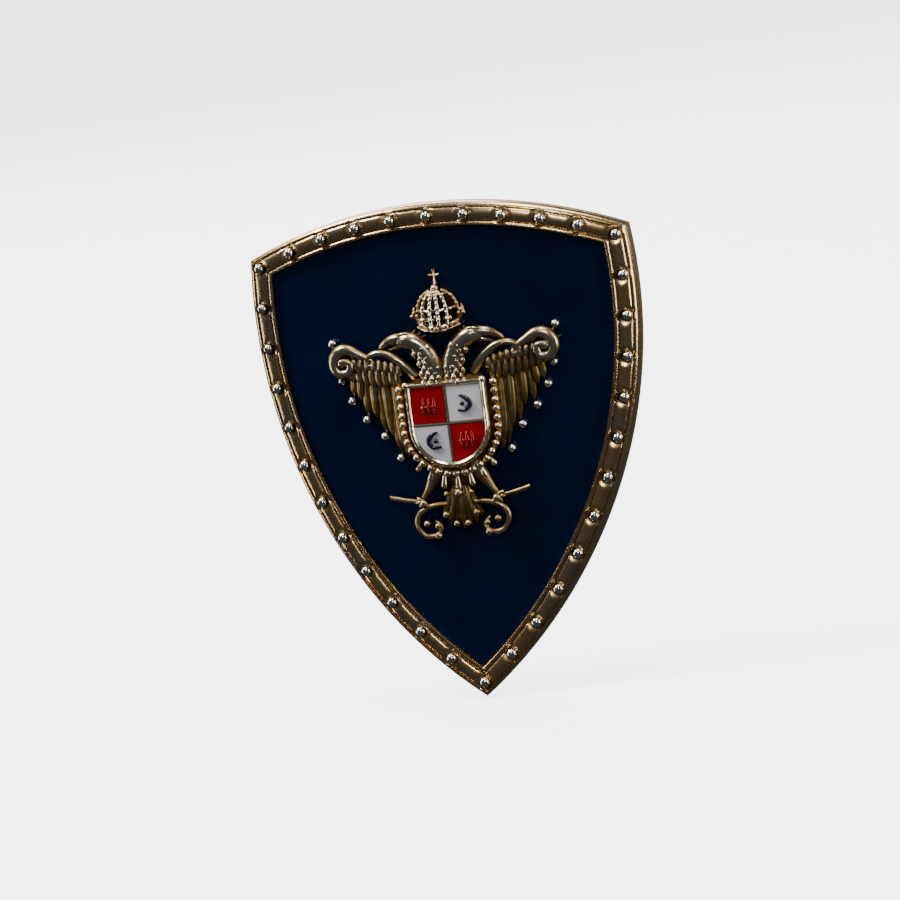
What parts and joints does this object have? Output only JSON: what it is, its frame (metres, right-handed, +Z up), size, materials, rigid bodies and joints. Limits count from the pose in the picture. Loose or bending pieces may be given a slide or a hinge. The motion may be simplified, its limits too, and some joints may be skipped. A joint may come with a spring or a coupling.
{
  "type": "shield-shaped cap badge",
  "caption": "Bowed shield-shaped cap badge with enamel field, studded border and applied two-headed eagle, held through a cap by threaded posts, washers and thumb nuts.",
  "frame": {"origin": "midway between the two posts, on the plane through the plate's rear side edges, where the front of the cap rests", "axes": "+Z up the badge, +X to the right seen from the front, +Y out of the back along the posts, so the face looks along -Y"},
  "size_m": [0.0396, 0.0149, 0.0503],
  "materials": {
    "gilt_brass": "polished gilt, darkened in the corners",
    "antique_gilt": "gilt relief with dark patina in its recesses",
    "bright_beads": "polished, nickel plated",
    "blue_enamel": "deep blue glass enamel, high gloss",
    "red_enamel": "red glass enamel, glossy",
    "pale_enamel": "off-white glass enamel, glossy",
    "dark_inlay": "blackened metal",
    "post_metal": "nickel-plated, turned and threaded",
    "nut_brass": "turned and knurled brass"
  },
  "bodies": {
    "badge": {"backing_plate": "gilt_brass", "enamel_field": "blue_enamel", "border_frame": "gilt_brass", "border_studs": "bright_beads", "eagle_casting": "antique_gilt", "eagle_pins": "gilt_brass", "wing_beads": "bright_beads", "crown": "antique_gilt", "crown_cross": "antique_gilt", "breast_tray": "antique_gilt", "red_quarters": "red_enamel", "pale_quarters": "pale_enamel", "red_charges": "antique_gilt", "pale_charges": "dark_inlay", "bead_collar": "antique_gilt", "collar_drop": "antique_gilt", "upper_post": "post_metal", "lower_post": "post_metal"},
    "upper_washer": {"upper_washer": "nut_brass"},
    "upper_nut": {"upper_nut": "nut_brass"},
    "lower_washer": {"lower_washer": "nut_brass"},
    "lower_nut": {"lower_nut": "nut_brass"}
  },
  "joints": [
    {"name": "upper_washer_travel", "type": "slide", "parent": "badge", "child": "upper_washer", "axis": [0, 1, 0], "range_m": [-0.002, 0.0065]},
    {"name": "upper_nut_spin", "type": "hinge", "parent": "upper_washer", "child": "upper_nut", "pos_m": [0, 0.0025, 0.01], "axis": [0, 1, 0], "range_deg": [-1450, 4690]},
    {"name": "lower_washer_travel", "type": "slide", "parent": "badge", "child": "lower_washer", "axis": [0, 1, 0], "range_m": [-0.002, 0.0065]},
    {"name": "lower_nut_spin", "type": "hinge", "parent": "lower_washer", "child": "lower_nut", "pos_m": [0, 0.0025, -0.01], "axis": [0, 1, 0], "range_deg": [-1450, 4690]}
  ],
  "couplings": [
    {"joint": "upper_nut_spin", "follows": "upper_washer_travel", "rad_per_m": 12566},
    {"joint": "lower_nut_spin", "follows": "lower_washer_travel", "rad_per_m": 12566}
  ]
}
